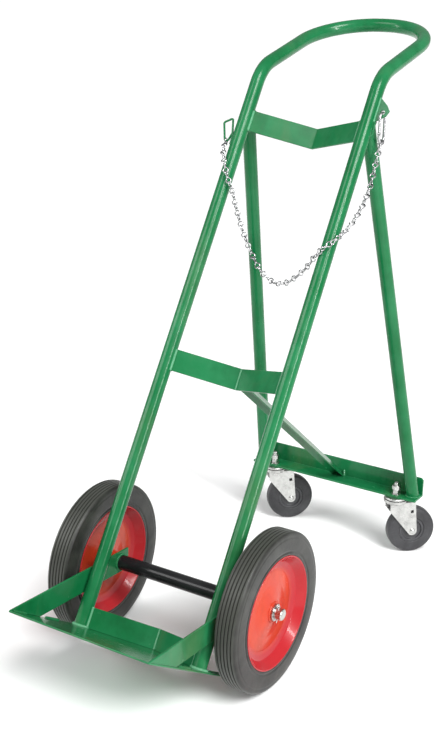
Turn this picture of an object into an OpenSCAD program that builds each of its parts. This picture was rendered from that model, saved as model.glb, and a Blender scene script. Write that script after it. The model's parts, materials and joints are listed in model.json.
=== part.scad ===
// Gas cylinder trolley of the kind used to carry one bottle of an oxygen and acetylene
// torch set: a leaning tube frame with a toe plate, two large solid-tyred wheels on a
// through axle, a rear A-frame on two swivel casters, and a restraining chain.
// +Z is up, X runs across the trolley and the toe plate points to -Y. The origin lies on
// the floor under the middle of the trolley's length and width.

/* [Frame] */
// Lean of the two uprights back from vertical, in degrees
lean = 32.25; // [30:0.25:34]
// Distance between the centrelines of the uprights
upright_gap = 305; // [298:1:330]
// Centreline length of an upright, from the toe plate to the handle bend
upright_len = 1337; // [1290:1:1400]
// Outside diameter of the frame tubes
tube_d = 32; // [28:0.5:34]
// Wall of the frame tubes
tube_wall = 2.5; // [1.5:0.1:3.5]
// Width of the flat bar used for the brackets and side rails
bar_w = 50; // [45:1:60]
// Thickness of that flat bar
bar_t = 5; // [4:0.5:6]
// Flange width of the rear angle iron
angle_w = 50; // [45:1:60]
// Thickness of the rear angle iron
angle_t = 5; // [4:0.5:6]

/* [Handle] */
// Rise of the handle above level, in degrees
handle_rise = 14.4; // [8:0.2:22]
// Length of the handle from its bend to the middle of its end bar
handle_len = 345; // [300:1:420]
// Centreline radius of the bend from upright to handle
elbow_r = 100; // [80:1:130]
// Centreline radius of the handle's two end corners
corner_r = 147; // [90:1:148]

/* [Toe plate and brackets] */
// Reach of the toe plate in front of the uprights' centrelines
toe_front = 238; // [225:1:260]
// How far the toe plate runs past the lower bracket's fold
toe_past = 2.4; // [1:0.1:20]
// Thickness of the toe plate
toe_t = 4; // [3:0.5:6]
// Depth of the fold of a V bracket behind the uprights' centrelines
vee_depth = 68; // [50:1:80]
// Distance of the upper bracket's top edge below the handle bend
upper_bracket_drop = 110; // [95:1:160]
// Height of the middle bracket's top edge above the toe plate
middle_bracket_top = 641; // [600:1:700]
// Height of the lower bracket, which stands on the toe plate
lower_bracket_h = 46; // [40:1:50]

/* [Main wheels] */
// Diameter of the main wheels
wheel_d = 350; // [330:1:380]
// Width of the main tyres
tyre_w = 53; // [45:1:60]
// Height of the main tyres above their rims
tyre_h = 51; // [40:1:60]
// Gap between a side rail and the tyre beside it
wheel_gap = 14.5; // [10:0.5:30]
// Diameter of the axle bar
axle_d = 25; // [20:0.5:26]
// Wall of the tube round the axle
axle_tube_wall = 3.2; // [2:0.1:5]
// Radial clearance of the axle in that tube
axle_tube_gap = 1.15; // [0.5:0.05:3]
// Distance of the axle up the uprights from the toe plate
axle_up = 155; // [140:1:170]
// Distance of the axle behind the uprights' centrelines
axle_behind = 100.5; // [95:0.5:110]

/* [Rear frame] */
// Distance of the rear legs' joints below the handle bend
leg_drop = 110; // [95:1:160]
// Spread of one rear leg's foot from the middle
leg_foot_x = 220; // [205:1:222]
// Distance of the rear legs' feet behind the axle
leg_foot_back = 734; // [700:1:780]
// How far the rear angle iron runs past the rear legs
crossbar_past = 3; // [0:0.5:20]
// Flange width of the strut's angle iron
strut_w = 25; // [20:1:30]
// Thickness of the strut's angle iron
strut_t = 3; // [2:0.5:4]

/* [Casters] */
// Diameter of the caster wheels
caster_d = 125; // [100:1:128]
// Width of the caster wheels
caster_w = 32; // [26:1:36]
// Height of a caster above its wheel, up to the rear angle iron
caster_head = 32; // [30:1:45]
// Trail of the caster axle behind the swivel
caster_trail = 43.6; // [38:0.1:48]
// Distance of each swivel inside the rear leg beside it
caster_in = 24.5; // [20:0.5:60]
// Angle to which the casters are turned at rest, in degrees
caster_turn = -46.4; // [-180:0.1:180]
// Diameter of the caster stems
stem_d = 12; // [10:0.5:14]

/* [Chain and hook] */
// Wire diameter of the chain
chain_wire = 3; // [2:0.1:3.4]
// Outside width of the loops in a chain link
loop_w = 15; // [13:0.1:16]
// Pitch of the chain
chain_pitch = 26; // [24:0.5:30]
// Diameter of the left eye's rod
eye_rod = 5; // [4:0.1:5.5]
// Wire diameter of the snap hook
hook_wire = 6; // [5:0.1:6.5]
// Overall length of the snap hook
hook_len = 70; // [64:1:80]
// Overall width of the snap hook
hook_w = 31; // [30:1:36]

/* [Clearances] */
// Radial clearance of a turning fit
run_gap = 0.05; // [0.02:0.01:0.1]
// Play along the axle on each side of a washer
washer_gap = 0.25; // [0.15:0.05:0.5]
// Radial clearance of a bolt in its hole
bolt_gap = 0.5; // [0.1:0.1:1]
// Gap left where a tube's end is shaped to another tube for welding
weld_gap = 0.05; // [0.02:0.01:0.2]

/* [Hidden] */
$fn = 72;

green = [0.02, 0.42, 0.2];
red = [0.85, 0.14, 0.1];
black = [0.04, 0.04, 0.04];
rubber = [0.13, 0.13, 0.13];
zinc = [0.75, 0.76, 0.78];
brass = [0.72, 0.6, 0.3];

// How far a cutting solid runs past what it cuts
past = 1;
// A bend is drawn this much thicker than the straights that run this far into its ends
swell = 0.05;
lap = 0.5;

tube_r = tube_d / 2;
upright_x = upright_gap / 2;
upper_bracket_top = upright_len - upper_bracket_drop;
leg_joint = upright_len - leg_drop;
// Outer face of the uprights, which is the inner face of the side rails
rail_in = upright_x + tube_r;
rail_out = rail_in + bar_t;
axle_z = wheel_d / 2;
tyre_half = tyre_w / 2;
wheel_x = rail_out + wheel_gap + tyre_half;
axle_r = axle_d / 2;

// Foot of the uprights, measured from the axle
foot_y = -axle_behind * cos(lean) - axle_up * sin(lean);
foot_z = axle_z + axle_behind * sin(lean) - axle_up * cos(lean);

// Height s up the uprights and distance n behind their centrelines, as Y and Z
function leaning_y(s, n) = foot_y + s * sin(lean) + n * cos(lean);
function leaning_z(s, n) = foot_z + s * cos(lean) - n * sin(lean);

// The trolley's length runs from the toe plate's edge to the back of the handle
front_y = leaning_y(-toe_t, -toe_front);
back_y = leaning_y(upright_len, 0) + handle_len * cos(handle_rise) + tube_r;
axle_y = -(front_y + back_y) / 2;

// Bearing and split pin places along the axle, measured from the middle of the trolley
washer_t = 2;
outer_washer_t = 4;
bush_r = axle_r + 3.5;
hub_r = bush_r + 4;
hub_in = rail_out + washer_t + 2 * washer_gap;
hub_out = wheel_x + 17;
bush_len = 18;
split_pin_d = 4.8;
split_pin_play = 1.5;
outer_washer_x = hub_out + washer_gap;
split_pin_x = outer_washer_x + outer_washer_t + split_pin_play + split_pin_d / 2;
axle_end = split_pin_x + 13;
pin_hole_r = split_pin_d / 2 + 0.1;

// Main wheel pressing
lip_r = wheel_d / 2 - tyre_h;
rim_r = lip_r - 3;
disc_t = 2.5;

// Rear angle iron and casters
caster_h = caster_d + caster_head;
caster_x = leg_foot_x - tube_r - caster_in;
crossbar_len = 2 * (leg_foot_x + tube_r + crossbar_past);
crossbar_wall_y = leg_foot_back + tube_r + 0.7;
crossbar_back = crossbar_wall_y + angle_t;
caster_back = crossbar_back - angle_w + 14.5;
stem_r = stem_d / 2;
nut_h = 10.8;
nut_r = stem_r + 5;
nut_washer_t = 2.5;

// Caster heights above the floor
cap_skirt = 5;
cap_bottom = caster_h - 3.8;
ball_d = 5;
crown_top = cap_bottom - ball_d - 0.1;
crown_bottom = crown_top - 7;
cap_r = 29;
crown_r = 30.5;
fork_t = 3;
fork_in = caster_w / 2 + 2.5;
caster_axle_z = caster_d / 2;
caster_bolt_r = 4;
bush_outer_r = 6;
foot_r = 12;
caster_core_r = 33;

// Left eye: its rod's place on the upright's side, and its corners from there, as X and height
eye_x = -(rail_in + eye_rod / 2);
eye_up = upright_len - 156;
eye_points = [[0, -42], [0, -24], [-13.4, 22], [-34, 10], [-12, -48], [-2.9, -14]];
eye_bends = [0, 8, 4, 5, 6, 0];

// Right tab: its hole, and its outline from there, as X and height
tab_t = 4;
tab_hole_r = 6;
tab_hole = [rail_in + 13.5, upright_len - 88];
tab_outline = [[6, 18], [15, 5], [9, -8], [rail_in - tab_hole.x, -23]];

// Chain route: share of the half width at the eye, share of the way out in front of the
// uprights or distance behind them, and distance below the handle bend
hook_drop = hook_len - hook_wire;
chain_x = rail_in + 15;
chain_front = tube_r + 9;
chain_route = concat(
    [for (p = [
        [-1, 0, 191], [-0.97, -0.44, 209], [-0.92, -0.76, 229], [-0.83, -1, 257],
        [-0.74, -0.84, 287], [-0.66, -0.32, 313], [-0.565, 9, 352], [-0.445, 29, 395],
        [-0.32, 45, 430], [-0.13, 57, 469], [0.09, 58, 490], [0.32, 42, 489], [0.565, 14, 464],
        [0.72, -0.48, 440], [0.84, -1, 419], [0.945, -0.72, 395], [1, 6, 353], [1.02, 25, 305],
        [1.02, 36, 252], [1, 38, 202]
    ]) [p[0] * chain_x, p[1] < 0 ? p[1] * chain_front : p[1], upright_len - p[2]]],
    [[tab_hole.x, hook_drop * sin(lean), tab_hole.y - hook_drop * cos(lean)]]
);
loop_r = (loop_w - chain_wire) / 2;
// Distance between the loop centres of two linked links
loop_step = 2 * loop_r - chain_wire - 0.4;
// Turn of the links about the route
chain_roll = 90;

// ---- helpers ---------------------------------------------------------------------------

function unit(v) = v / norm(v);
function left_of(v) = [-v.y, v.x];
function turn(a, b) = atan2(a.x * b.y - a.y * b.x, a.x * b.x + a.y * b.y);

// Round bar along a flat path of points with a bend radius at each inner point
module bent_bar(points, bends, r) {
    last = len(points) - 1;
    setback = [for (i = [0:last]) i == 0 || i == last ? 0
        : bends[i] * tan(abs(turn(points[i] - points[i - 1], points[i + 1] - points[i])) / 2)];
    for (i = [0:last - 1]) {
        along = unit(points[i + 1] - points[i]);
        from = i == 0 ? 0 : setback[i] - lap;
        to = norm(points[i + 1] - points[i]) - (i == last - 1 ? 0 : setback[i + 1] - lap);
        translate([points[i].x, points[i].y, 0])
            rotate([0, 0, atan2(along.y, along.x)])
            rotate([0, 90, 0])
            translate([0, 0, from])
            cylinder(h = to - from, r = r);
    }
    for (i = [1:last - 1]) {
        into = unit(points[i] - points[i - 1]);
        out = unit(points[i + 1] - points[i]);
        angle = turn(into, out);
        start = points[i] - into * setback[i];
        centre = start + left_of(into) * sign(angle) * bends[i];
        first = angle > 0 ? start : points[i] + out * setback[i];
        translate([centre.x, centre.y, 0])
            rotate([0, 0, atan2(first.y - centre.y, first.x - centre.x)])
            rotate_extrude(angle = abs(angle))
            translate([bends[i], 0]) circle(r = r + swell);
    }
}

// Tube bent from the origin along +Z. Each move is a straight length, then a bend's radius
// and angle, and how far the tube is turned about itself before that bend
module bent_tube(moves, r, bore, lapped = 0) {
    length = moves[0][0];
    radius = moves[0][1];
    angle = moves[0][2];
    bent = len(moves) > 1;
    translate([0, 0, -lapped]) tube(length + lapped + (bent ? lap : 0), r, bore);
    if (bent) translate([0, 0, length]) rotate([0, 0, moves[0][3]]) translate([radius, 0, 0]) {
        rotate([-90, 0, 0]) rotate([0, 0, 180]) rotate_extrude(angle = angle)
            translate([radius, 0]) difference() {
                circle(r = r + swell);
                circle(r = bore - swell);
            }
        rotate([0, angle, 0]) translate([-radius, 0, 0])
            bent_tube([for (i = [1:len(moves) - 1]) moves[i]], r, bore, lap);
    }
}

// Everything is built from the axle and then moved to the origin
module trolley() translate([0, axle_y, 0]) children();

// Frame of the leaning uprights: X across, Y behind them and Z up along them
module leaning() translate([0, foot_y, foot_z]) rotate([-lean, 0, 0]) children();

// Flat path drawn as Y and Z
module upright_plane() rotate([90, 0, 90]) children();

// Round bar or bore between two points
module round_bar(from, to, r) {
    along = to - from;
    translate(from)
        rotate([0, acos(along.z / norm(along)), atan2(along.y, along.x)])
        cylinder(h = norm(along), r = r);
}

module tube(length, r_out, r_in) {
    difference() {
        cylinder(h = length, r = r_out);
        translate([0, 0, -past]) cylinder(h = length + 2 * past, r = r_in);
    }
}

// ---- welded frame ----------------------------------------------------------------------

// Both uprights and the handle bow, bent from one length of tube
module frame_tube() {
    elbow = 90 - lean - handle_rise;
    setback = elbow_r * tan(elbow / 2);
    corner = min(corner_r, upright_x - 2);
    upright = upright_len - setback;
    side = handle_len - setback - corner;
    color(green) trolley() leaning() translate([-upright_x, 0, 0]) bent_tube([
        [upright, elbow_r, elbow, 90],
        [side, corner, 90, -90],
        [upright_gap - 2 * corner, corner, 90, 0],
        [side, elbow_r, elbow, 90],
        [upright]
    ], tube_r, tube_r - tube_wall);
}

module toe_plate() color(green) trolley() leaning()
    translate([-rail_out, -toe_front, -toe_t])
    cube([2 * rail_out, toe_front + vee_back + toe_past, toe_t]);

// Flat bar on edge through the axle, cut off along the toe plate. Its top edge rises to
// meet the front edge of the plate
module side_rail(side) {
    back_end = 29;
    corner = [-leaning_y(0, -toe_front), leaning_z(0, -toe_front) - axle_z];
    rail_rise = atan2(corner.y, corner.x) - asin(bar_w / 2 / norm(corner));
    front_run = norm(corner) + bar_w;
    color(green) trolley() difference() {
        translate([side * (rail_in + bar_t / 2), 0, axle_z])
            rotate([-rail_rise, 0, 0])
            translate([-bar_t / 2, -front_run, -bar_w / 2])
            cube([bar_t, front_run + back_end, bar_w]);
        leaning() translate([-wheel_d, -wheel_d, -wheel_d])
            cube([2 * wheel_d, 2 * wheel_d, wheel_d]);
        translate([-wheel_d, 0, axle_z]) rotate([0, 90, 0])
            cylinder(h = 2 * wheel_d, r = axle_r + run_gap);
    }
}

// Where the faces of a V bracket meet the tubes
vee_x = upright_x - tube_r;
vee_slope = atan2(vee_depth, vee_x);
vee_back = vee_depth + bar_t / cos(vee_slope);

// Outline of a V bracket seen along the uprights
module vee_outline() {
    reach = upright_x;
    dip = vee_depth * (reach - vee_x) / vee_x;
    polygon([
        [-reach, -dip], [0, vee_depth], [reach, -dip],
        [reach, vee_back - vee_depth - dip], [0, vee_back], [-reach, vee_back - vee_depth - dip]
    ]);
}

// One flat bar folded once, with its ends shaped to the tubes
module vee_bracket(bottom, height) {
    color(green) trolley() leaning() difference() {
        translate([0, 0, bottom]) linear_extrude(height) vee_outline();
        for (side = [-1, 1])
            translate([side * upright_x, 0, bottom - past]) cylinder(h = height + 2 * past, r = tube_r);
        for (side = [-1, 1])
            translate([side * (upright_x + tube_r / 2), 0, bottom + height / 2])
            cube([tube_r, 4 * tube_r, height + 2 * past], center = true);
    }
}

module upper_bracket() vee_bracket(upper_bracket_top - bar_w, bar_w);
module middle_bracket() vee_bracket(middle_bracket_top - bar_w, bar_w);
module lower_bracket() vee_bracket(0, lower_bracket_h);

// Tube from the back of an upright down to the rear angle iron
module rear_leg(side) {
    top = [upright_x, leaning_y(leg_joint, 0), leaning_z(leg_joint, 0)];
    foot = [leg_foot_x, leg_foot_back, caster_h + angle_t];
    beyond = unit(foot - top) * tube_d;
    color(green) trolley() mirror([side < 0 ? 1 : 0, 0, 0]) difference() {
        round_bar(top, foot + beyond, tube_r);
        round_bar(top - beyond, foot + 2 * beyond, tube_r - tube_wall);
        translate([upright_x, 0, 0]) leaning()
            translate([0, 0, leg_joint - 5 * tube_d]) cylinder(h = 10 * tube_d, r = tube_r + weld_gap);
        translate([leg_foot_x, leg_foot_back, caster_h + angle_t - 2 * tube_d])
            cube([4 * tube_d, 4 * tube_d, 4 * tube_d], center = true);
    }
}

module rear_crossbar() color(green) trolley() difference() {
    union() {
        translate([-crossbar_len / 2, crossbar_back - angle_w, caster_h])
            cube([crossbar_len, angle_w, angle_t]);
        translate([-crossbar_len / 2, crossbar_wall_y, caster_h])
            cube([crossbar_len, angle_t, angle_w]);
    }
    for (side = [-1, 1])
        translate([side * caster_x, caster_back, caster_h - past])
        cylinder(h = angle_t + 2 * past, r = stem_r + bolt_gap);
    // clipped top corners of the standing flange
    for (side = [-1, 1])
        translate([side * crossbar_len / 2, crossbar_back, caster_h + angle_w])
        rotate([0, 45, 0]) cube([8, 4 * angle_t, 8], center = true);
}

// Angle iron with its corner on top, from the middle bracket to the rear angle iron
strut_top = [leaning_y(middle_bracket_top - 16, vee_back), leaning_z(middle_bracket_top - 16, vee_back)];
strut_foot = [crossbar_wall_y, caster_h + 22];
module rear_strut() {
    run = strut_foot - strut_top;
    color(green) trolley() difference() {
        translate([0, strut_top.x, strut_top.y])
            rotate([atan2(run.y, run.x), 0, 0])
            translate([0, -bar_w, 0]) rotate([-90, 0, 0]) rotate([0, 0, 45])
            difference() {
                cube([strut_w, strut_w, norm(run) + 2 * bar_w]);
                translate([strut_t, strut_t, -past])
                    cube([strut_w, strut_w, norm(run) + 2 * bar_w + 2 * past]);
            }
        // in front of the bracket's back faces
        leaning() linear_extrude(upright_len) polygon([
            [-upright_x, -upright_x], [upright_x, -upright_x],
            [upright_x, vee_back - vee_depth * upright_x / vee_x], [0, vee_back],
            [-upright_x, vee_back - vee_depth * upright_x / vee_x]
        ]);
        // behind the standing flange and below the flat one
        translate([-strut_w, crossbar_wall_y, 0]) cube([2 * strut_w, 4 * bar_w, wheel_d]);
        translate([-strut_w, 0, 0]) cube([2 * strut_w, crossbar_back, caster_h + angle_t]);
    }
}

// ---- axle ------------------------------------------------------------------------------

module along_axle(x) translate([x, 0, axle_z]) rotate([0, 90, 0]) children();

module axle_tube() color(black) trolley() along_axle(-rail_in)
    tube(2 * rail_in, axle_r + axle_tube_gap + axle_tube_wall, axle_r + axle_tube_gap);

module axle() {
    bevel = 1.5;
    color(zinc) trolley() difference() {
        along_axle(-axle_end) rotate_extrude() polygon([
            [0, 0], [axle_r - bevel, 0], [axle_r, bevel],
            [axle_r, 2 * axle_end - bevel], [axle_r - bevel, 2 * axle_end], [0, 2 * axle_end]
        ]);
        for (side = [-1, 1])
            translate([side * split_pin_x, 0, axle_z - axle_d]) cylinder(h = 2 * axle_d, r = pin_hole_r);
    }
}

module axle_inner_washers() color(zinc) trolley()
    for (side = [0, 1]) mirror([side, 0, 0])
        along_axle(rail_out + washer_gap) tube(washer_t, axle_r + 6.5, axle_r + 2 * run_gap);

module axle_outer_washers() color(zinc) trolley()
    for (side = [0, 1]) mirror([side, 0, 0])
        along_axle(outer_washer_x) tube(outer_washer_t, axle_r + 5.5, axle_r + 2 * run_gap);

// Split pin with its eye on top and its two legs bent apart below
module axle_split_pins() {
    pin_r = split_pin_d / 2;
    leg_r = 1.1;
    eye_r = 3.4;
    leg_z = -axle_r - 1.2;
    color(zinc) trolley() for (side = [-1, 1]) translate([side * split_pin_x, 0, axle_z]) {
        translate([0, 0, leg_z]) cylinder(h = axle_d + 2.4, r = pin_r);
        translate([0, 0, axle_r + 1 + eye_r + leg_r]) rotate([0, 90, 0])
            rotate_extrude() translate([eye_r, 0]) circle(r = leg_r);
        for (way = [-1, 1])
            translate([0, way * (pin_r - leg_r), leg_z + leg_r]) rotate([180 + way * 35, 0, 0])
            cylinder(h = 9, r = leg_r);
    }
}

// ---- main wheels -----------------------------------------------------------------------

// Wheel profiles are turned about the axle, with the second value pointing outwards
module wheel_place(side) trolley() mirror([side < 0 ? 1 : 0, 0, 0]) along_axle(wheel_x) children();

groove_w = 2.6;
groove_d = 3;
grooves = 5;
tread_w = tyre_w - 13;
// The tyre's inner edge, below the rim walls
bead_r = rim_r - 11;

// Tread points across one groove
function groove(mid) = [
    [wheel_d / 2, mid - groove_w / 2], [wheel_d / 2 - groove_d, mid - groove_w / 4],
    [wheel_d / 2 - groove_d, mid + groove_w / 4], [wheel_d / 2, mid + groove_w / 2]
];

module tyre_profile() {
    shoulder = tyre_half - tread_w / 2;
    step = 1.5;
    polygon(concat(
        [[bead_r, -6.2], [lip_r + 0.4, 1.5 - tyre_half], [lip_r + 6, step - tyre_half],
         [lip_r + 12, -tyre_half], [wheel_d / 2 - 14, -tyre_half],
         [wheel_d / 2 - 5, 1.8 - tyre_half], [wheel_d / 2 - 1.2, shoulder - tyre_half]],
        [for (i = [0:grooves - 1]) each groove((i - (grooves - 1) / 2) * tread_w / grooves)],
        [[wheel_d / 2 - 1.2, tyre_half - shoulder], [wheel_d / 2 - 5, tyre_half - 1.8],
         [wheel_d / 2 - 14, tyre_half], [lip_r + 12, tyre_half],
         [lip_r + 6, tyre_half - step], [lip_r + 0.4, tyre_half - 1.5], [bead_r, 6.2]]
    ));
}

module tyre(side) color(rubber) wheel_place(side) rotate_extrude() tyre_profile();

// Pressed disc with half of the rim: cone, flat ring where the two discs meet, and rim wall
module disc_profile() {
    cone_in = hub_r + 4;
    cone_out = rim_r - 35;
    wall_r = rim_r - 14;
    polygon([
        [hub_r, 16], [cone_in, 14.6], [cone_out, 3.4], [cone_out + 4, disc_t], [wall_r, 8],
        [rim_r, tyre_half], [lip_r, tyre_half], [lip_r, tyre_half - 1.6],
        [wall_r + 2.2, 5.9], [cone_out + 4.8, 0], [cone_out, 0], [cone_out - 2, 1.3],
        [cone_in, 12.1], [hub_r, 13.4]
    ]);
}

module outer_disc(side) color(red) wheel_place(side) rotate_extrude() disc_profile();
module inner_disc(side) color(red) wheel_place(side) mirror([0, 0, 1])
    rotate_extrude() disc_profile();

module hub(side) color(red) wheel_place(side)
    translate([0, 0, hub_in - wheel_x]) tube(hub_out - hub_in, hub_r, bush_r);

module hub_bushes(side) color(brass) wheel_place(side)
    for (start = [hub_in - wheel_x, hub_out - wheel_x - bush_len])
        translate([0, 0, start]) tube(bush_len, bush_r, axle_r + run_gap);

// ---- casters ---------------------------------------------------------------------------

module swivel_place(side) trolley() translate([side * caster_x, caster_back, 0])
    rotate([0, 0, caster_turn]) children();

module caster_axle_place(side) swivel_place(side)
    translate([0, caster_trail, caster_axle_z]) rotate([0, 90, 0]) children();

function both_ways(half) = [-half, half];

module caster_cap(side) color(zinc) swivel_place(side) rotate_extrude() polygon([
    [stem_r, caster_h], [cap_r - 1, caster_h], [cap_r, caster_h - 1],
    [cap_r, caster_h - cap_skirt], [cap_r - 3.5, caster_h - cap_skirt],
    [cap_r - 3.5, cap_bottom], [stem_r, cap_bottom]
]);

// Stem with its head under the fork and a rounded top end
module caster_stem(side) {
    head_t = 3.5;
    head_r = stem_r + 4;
    top = caster_h + angle_t + nut_washer_t + 2 * nut_h + 9;
    head_top = crown_bottom - 0.1;
    color(zinc) swivel_place(side) rotate_extrude() polygon([
        [0, head_top - head_t], [head_r - 1, head_top - head_t], [head_r, head_top - head_t + 1],
        [head_r, head_top], [stem_r, head_top], [stem_r, top - 3], [stem_r - 1, top - 1],
        [stem_r - 3, top], [0, top]
    ]);
}

// Ring of balls between the cap and the fork
module caster_balls(side) {
    balls = 20;
    ring_r = 21;
    color(zinc) swivel_place(side) for (i = [0:balls - 1])
        rotate([0, 0, 360 / balls * i]) translate([ring_r, 0, crown_top + ball_d / 2])
        sphere(d = ball_d);
}

module caster_washers() color(zinc) for (side = [-1, 1]) swivel_place(side)
    translate([0, 0, caster_h + angle_t]) tube(nut_washer_t, nut_r + 1, stem_r + 0.3);

// Two nuts locked against each other on each stem
module caster_nuts() color(zinc) for (side = [-1, 1]) swivel_place(side)
    for (level = [0, 1])
        translate([0, 0, caster_h + angle_t + nut_washer_t + level * nut_h])
        rotate([0, 0, 20 * level]) difference() {
            intersection() {
                cylinder(h = nut_h - 0.2, r = nut_r, $fn = 6);
                rotate_extrude() polygon([
                    [0, 0], [nut_r - 1.2, 0], [nut_r, 1], [nut_r, nut_h - 1.2],
                    [nut_r - 1.2, nut_h - 0.2], [0, nut_h - 0.2]
                ]);
            }
            translate([0, 0, -past]) cylinder(h = nut_h + 2 * past, r = stem_r);
        }

// Side view of a fork leg, as distance behind the swivel and height
front_top = [-20, crown_bottom + 3];
front_waist = [-19, crown_bottom - 21];
rear_top = [caster_trail + 4.4, crown_bottom + 3];
foot = [caster_trail, caster_axle_z];
leg_angle = 221;
module fork_leg_outline() polygon([
    front_top, front_waist,
    foot + foot_r * [cos(leg_angle), sin(leg_angle)],
    foot, foot + [foot_r, 0], rear_top
]);

module caster_fork(side) {
    window = 8;
    color(zinc) swivel_place(side) difference() {
        union() {
            // crown with its raised rim
            rotate_extrude() polygon([
                [stem_r + run_gap, crown_bottom], [crown_r - 2, crown_bottom],
                [crown_r, crown_bottom + 2], [crown_r, crown_top + 2.4], [crown_r - 3.5, crown_top + 2.4],
                [crown_r - 3.5, crown_top], [stem_r + run_gap, crown_top]
            ]);
            // flat top joining the legs behind the crown
            difference() {
                translate([-fork_in - fork_t, front_top.x, crown_bottom])
                    cube([2 * (fork_in + fork_t), rear_top.x - front_top.x, fork_t]);
                translate([0, 0, crown_bottom - past]) cylinder(h = fork_t + 2 * past, r = crown_r - 5);
            }
            for (x = [-fork_in - fork_t, fork_in]) translate([x, 0, 0]) {
                upright_plane() linear_extrude(fork_t) fork_leg_outline();
                translate([0, caster_trail, caster_axle_z]) rotate([0, 90, 0])
                    cylinder(h = fork_t, r = foot_r);
            }
        }
        translate([-2 * fork_in, caster_trail, caster_axle_z]) rotate([0, 90, 0])
            cylinder(h = 4 * fork_in, r = caster_bolt_r + run_gap);
        // square windows near the top of the legs
        translate([0, caster_trail - 3.6, crown_bottom - 23]) rotate([12, 0, 0])
            cube([4 * fork_in, window, window], center = true);
    }
}

module caster_axle_bolt(side) {
    head_t = 4.5;
    head_r = 7;
    run = 2 * (fork_in + fork_t);
    color(zinc) caster_axle_place(side) translate([0, 0, -run / 2 - 9]) rotate_extrude() polygon([
        [0, 0], [caster_bolt_r - 1, 0], [caster_bolt_r, 1], [caster_bolt_r, run + 9],
        [head_r, run + 9], [head_r, run + 10.5], [head_r - 2, run + 9 + head_t - 1],
        [head_r - 4.5, run + 9 + head_t], [0, run + 9 + head_t]
    ]);
}

module caster_axle_nut(side) {
    nut_t = 6.5;
    color(zinc) caster_axle_place(side) translate([0, 0, -fork_in - fork_t - nut_t]) difference() {
        cylinder(h = nut_t, r = 7.5, $fn = 6);
        translate([0, 0, -past]) cylinder(h = nut_t + 2 * past, r = caster_bolt_r);
    }
}

module caster_bush(side) color(zinc) caster_axle_place(side) translate([0, 0, -fork_in])
    tube(2 * fork_in, bush_outer_r, caster_bolt_r + run_gap);

// Moulded wheel centre with a boss and a ring recess on each face
module caster_core(side) {
    boss = fork_in - 1;
    face = caster_w / 2 - 1;
    color(black) caster_axle_place(side) rotate_extrude() polygon([
        [bush_outer_r + run_gap, -boss], [13, -boss], [14, 1 - boss], [14, 5 - face], [26, 3 - face],
        [27, -face], [caster_core_r, -face], [caster_core_r, face], [27, face], [26, face - 3],
        [14, face - 5], [14, boss - 1], [13, boss], [bush_outer_r + run_gap, boss]
    ]);
}

module caster_tyre(side) {
    half = caster_w / 2;
    outer = caster_d / 2;
    color(rubber) caster_axle_place(side) rotate_extrude() polygon([
        [caster_core_r, -half + 2], [caster_core_r + 2, -half], [outer - 8, -half],
        [outer - 3, 1.5 - half], [outer - 0.8, 5 - half], [outer, 9 - half], [outer, half - 9],
        [outer - 0.8, half - 5], [outer - 3, half - 1.5], [outer - 8, half],
        [caster_core_r + 2, half], [caster_core_r, half - 2]
    ]);
}

// ---- chain, eye, tab and hook ----------------------------------------------------------

module left_chain_eye() color(green) trolley() leaning() translate([eye_x, 0, eye_up])
    rotate([90, 0, 0]) bent_bar(eye_points, eye_bends, eye_rod / 2);

module right_chain_tab() color(green) trolley() leaning() translate([tab_hole.x, 0, tab_hole.y]) {
    root = upright_x - tab_hole.x;
    difference() {
        rotate([90, 0, 0]) translate([0, 0, -tab_t / 2]) linear_extrude(tab_t) polygon(concat(
            [[root, -23], [root, 35], [rail_in - tab_hole.x, 35]], tab_outline
        ));
        translate([root, 0, -bar_w]) cylinder(h = 3 * bar_w, r = tube_r);
        rotate([90, 0, 0]) cylinder(h = 3 * tab_t, r = tab_hole_r, center = true);
    }
}

// Smooth curve through points, and places along it by length
function curve(p, t) = let (
    i = min(floor(t), len(p) - 2), k = t - i,
    a = p[max(i - 1, 0)], b = p[i], c = p[i + 1], d = p[min(i + 2, len(p) - 1)]
) 0.5 * (2 * b + (c - a) * k + (2 * a - 5 * b + 4 * c - d) * k * k
    + (3 * b - a - 3 * c + d) * k * k * k);
steps = 8;
curve_points = [for (k = [0:steps * (len(chain_route) - 1)]) curve(chain_route, k / steps)];
curve_runs = [for (k = 0, run = 0; k < len(curve_points);
    k = k + 1, run = run + (k < len(curve_points)
        ? norm(curve_points[k] - curve_points[k - 1]) : 0)) run];
route_len = curve_runs[len(curve_runs) - 1];
function at_run(s) = let (
    k = max([for (j = [0:len(curve_runs) - 2]) if (curve_runs[j] <= s || j == 0) j]),
    share = (s - curve_runs[k]) / (curve_runs[k + 1] - curve_runs[k])
) curve_points[k] + (curve_points[k + 1] - curve_points[k]) * share;

link_count = round((route_len + loop_step) / chain_pitch);
link_pitch = (route_len + loop_step) / link_count;
link_reach = link_pitch - loop_step;

// One link along +Z: two wire loops at right angles, joined by a twisted neck
module chain_link() {
    neck = link_reach - 2 * loop_r;
    for (end = [0, 1]) translate([0, 0, end * link_reach]) rotate([90, 0, 90 * end])
        rotate_extrude() translate([loop_r, 0]) circle(r = chain_wire / 2, $fn = 24);
    translate([0, 0, loop_r - chain_wire / 4])
        cylinder(h = neck + chain_wire / 2, r = chain_wire * 0.8, $fn = 24);
}

module chain() color(zinc) trolley() leaning()
    for (i = [0:link_count - 1]) {
        start = at_run(i * link_pitch);
        along = unit(at_run(i * link_pitch + link_reach) - start);
        twist = atan2(along.y, along.x) * (along.z < 0 ? 1 : -1);
        translate(start)
            rotate([0, acos(along.z), atan2(along.y, along.x)])
            rotate([0, 0, chain_roll + twist])
            chain_link();
    }

// The hook hangs upright from the tab's hole, in the plane of Y and Z
module hook_place() trolley()
    translate([tab_hole.x, leaning_y(tab_hole.y, 0), leaning_z(tab_hole.y, 0)]) children();

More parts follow.
